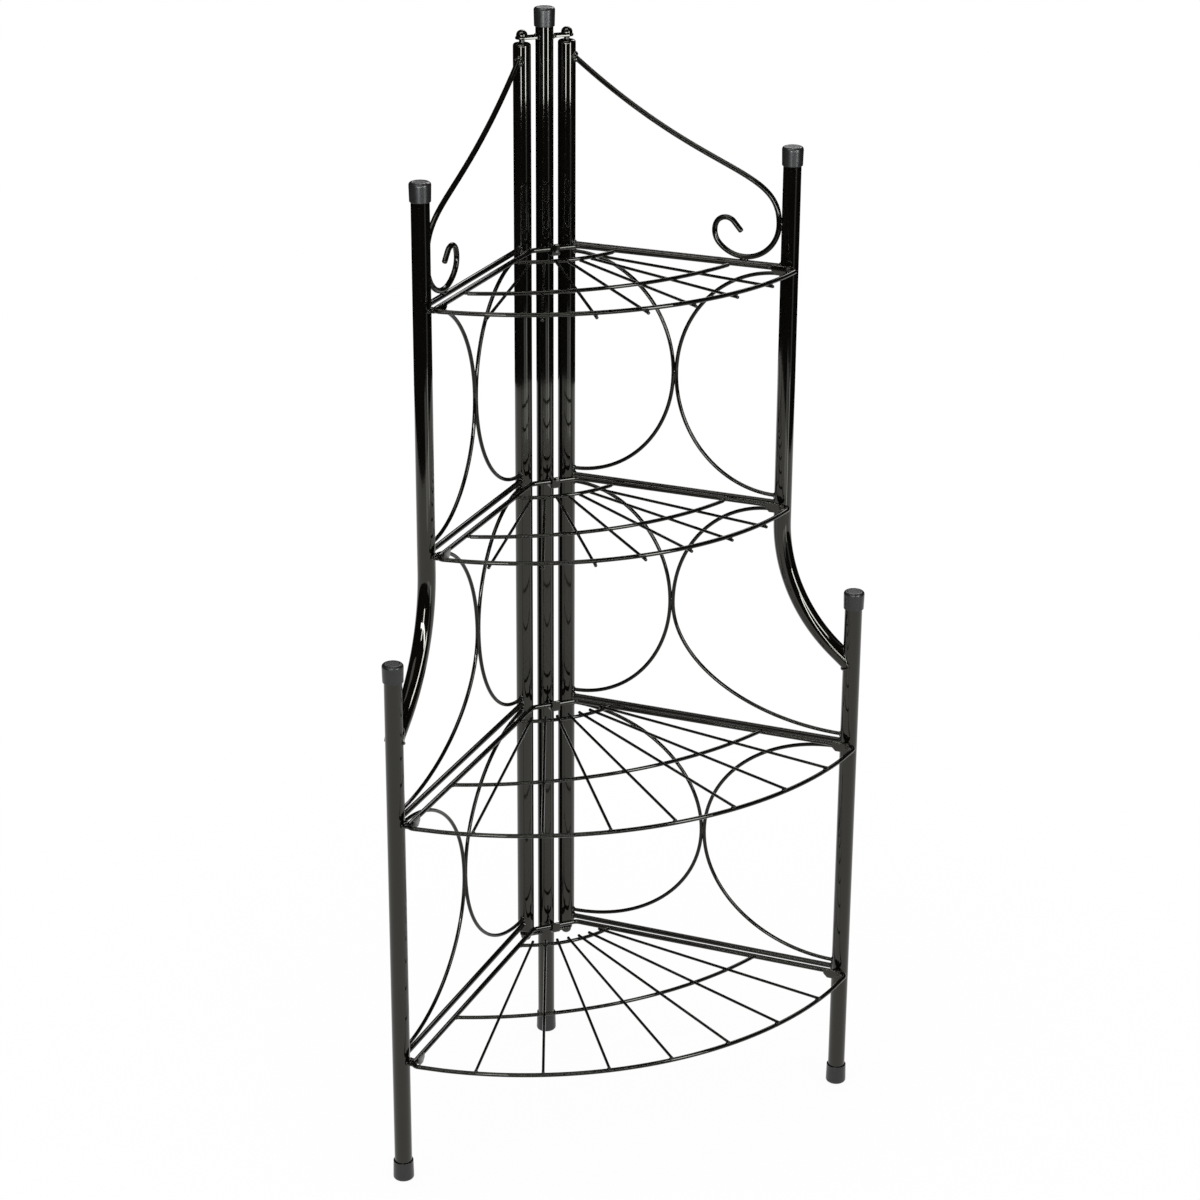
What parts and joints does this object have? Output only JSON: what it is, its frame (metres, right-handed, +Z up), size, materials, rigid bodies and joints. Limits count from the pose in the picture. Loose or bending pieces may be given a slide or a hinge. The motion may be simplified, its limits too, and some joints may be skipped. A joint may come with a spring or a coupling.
{
  "type": "tiered plant stand",
  "caption": "Tiered corner plant stand of black steel tube and wire: hinged side panels with scrolls and half-round ornaments carry lift-off quarter-round wire shelves.",
  "frame": {"origin": "centre of the corner post's foot, on the floor", "axes": "+Z up, +X along the right panel and -Y along the left panel, so the open front faces between +X and -Y"},
  "size_m": [0.3994, 0.3994, 1.215],
  "materials": {
    "tube_paint": "glossy black powder coat",
    "wire_paint": "glossy black powder coat",
    "fitting_paint": "glossy black paint",
    "cap_plastic": "satin black plastic",
    "foot_plastic": "satin black plastic"
  },
  "bodies": {
    "corner_post": {"corner_post": "tube_paint", "corner_post_cap": "cap_plastic", "corner_post_foot": "foot_plastic", "left_lower_hinge_bolt": "fitting_paint", "left_lower_hinge_tab": "fitting_paint", "left_upper_hinge_bolt": "fitting_paint", "left_upper_hinge_tab": "fitting_paint", "right_lower_hinge_bolt": "fitting_paint", "right_lower_hinge_tab": "fitting_paint", "right_upper_hinge_bolt": "fitting_paint", "right_upper_hinge_tab": "fitting_paint", "shelf_1_hook": "fitting_paint", "shelf_2_hook": "fitting_paint", "shelf_3_hook": "fitting_paint", "shelf_4_hook": "fitting_paint"},
    "left_panel": {"left_bracket_1": "fitting_paint", "left_bracket_2": "fitting_paint", "left_bracket_3": "fitting_paint", "left_bracket_4": "fitting_paint", "left_foot": "foot_plastic", "left_inner_tube": "tube_paint", "left_lower_cap": "cap_plastic", "left_lower_post": "tube_paint", "left_ornament_1": "wire_paint", "left_ornament_2": "wire_paint", "left_ornament_3": "wire_paint", "left_rail_1": "wire_paint", "left_rail_2": "wire_paint", "left_rail_3": "wire_paint", "left_rail_4": "wire_paint", "left_scroll": "wire_paint", "left_upper_cap": "cap_plastic", "left_upper_post": "tube_paint"},
    "right_panel": {"right_bracket_1": "fitting_paint", "right_bracket_2": "fitting_paint", "right_bracket_3": "fitting_paint", "right_bracket_4": "fitting_paint", "right_foot": "foot_plastic", "right_inner_tube": "tube_paint", "right_lower_cap": "cap_plastic", "right_lower_post": "tube_paint", "right_ornament_1": "wire_paint", "right_ornament_2": "wire_paint", "right_ornament_3": "wire_paint", "right_rail_1": "wire_paint", "right_rail_2": "wire_paint", "right_rail_3": "wire_paint", "right_rail_4": "wire_paint", "right_scroll": "wire_paint", "right_upper_cap": "cap_plastic", "right_upper_post": "tube_paint"},
    "shelf_1": {"shelf_1_frame": "wire_paint", "shelf_1_grid": "wire_paint"},
    "shelf_2": {"shelf_2_frame": "wire_paint", "shelf_2_grid": "wire_paint"},
    "shelf_3": {"shelf_3_frame": "wire_paint", "shelf_3_grid": "wire_paint"},
    "shelf_4": {"shelf_4_frame": "wire_paint", "shelf_4_grid": "wire_paint"}
  },
  "joints": [
    {"name": "left_panel_swing", "type": "hinge", "parent": "corner_post", "child": "left_panel", "pos_m": [-0.01796, -0.01796, 0], "axis": [0, 0, -1], "range_deg": [0, 90]},
    {"name": "right_panel_swing", "type": "hinge", "parent": "corner_post", "child": "right_panel", "pos_m": [0.01796, 0.01796, 0], "axis": [0, 0, 1], "range_deg": [0, 90]},
    {"name": "shelf_1_lift", "type": "slide", "parent": "corner_post", "child": "shelf_1", "axis": [0, 0, 1], "range_m": [0, 0.3]},
    {"name": "shelf_2_lift", "type": "slide", "parent": "corner_post", "child": "shelf_2", "axis": [0, 0, 1], "range_m": [0, 0.22]},
    {"name": "shelf_3_lift", "type": "slide", "parent": "corner_post", "child": "shelf_3", "axis": [0, 0, 1], "range_m": [0, 0.22]},
    {"name": "shelf_4_lift", "type": "slide", "parent": "corner_post", "child": "shelf_4", "axis": [0, 0, 1], "range_m": [0, 0.22]}
  ]
}
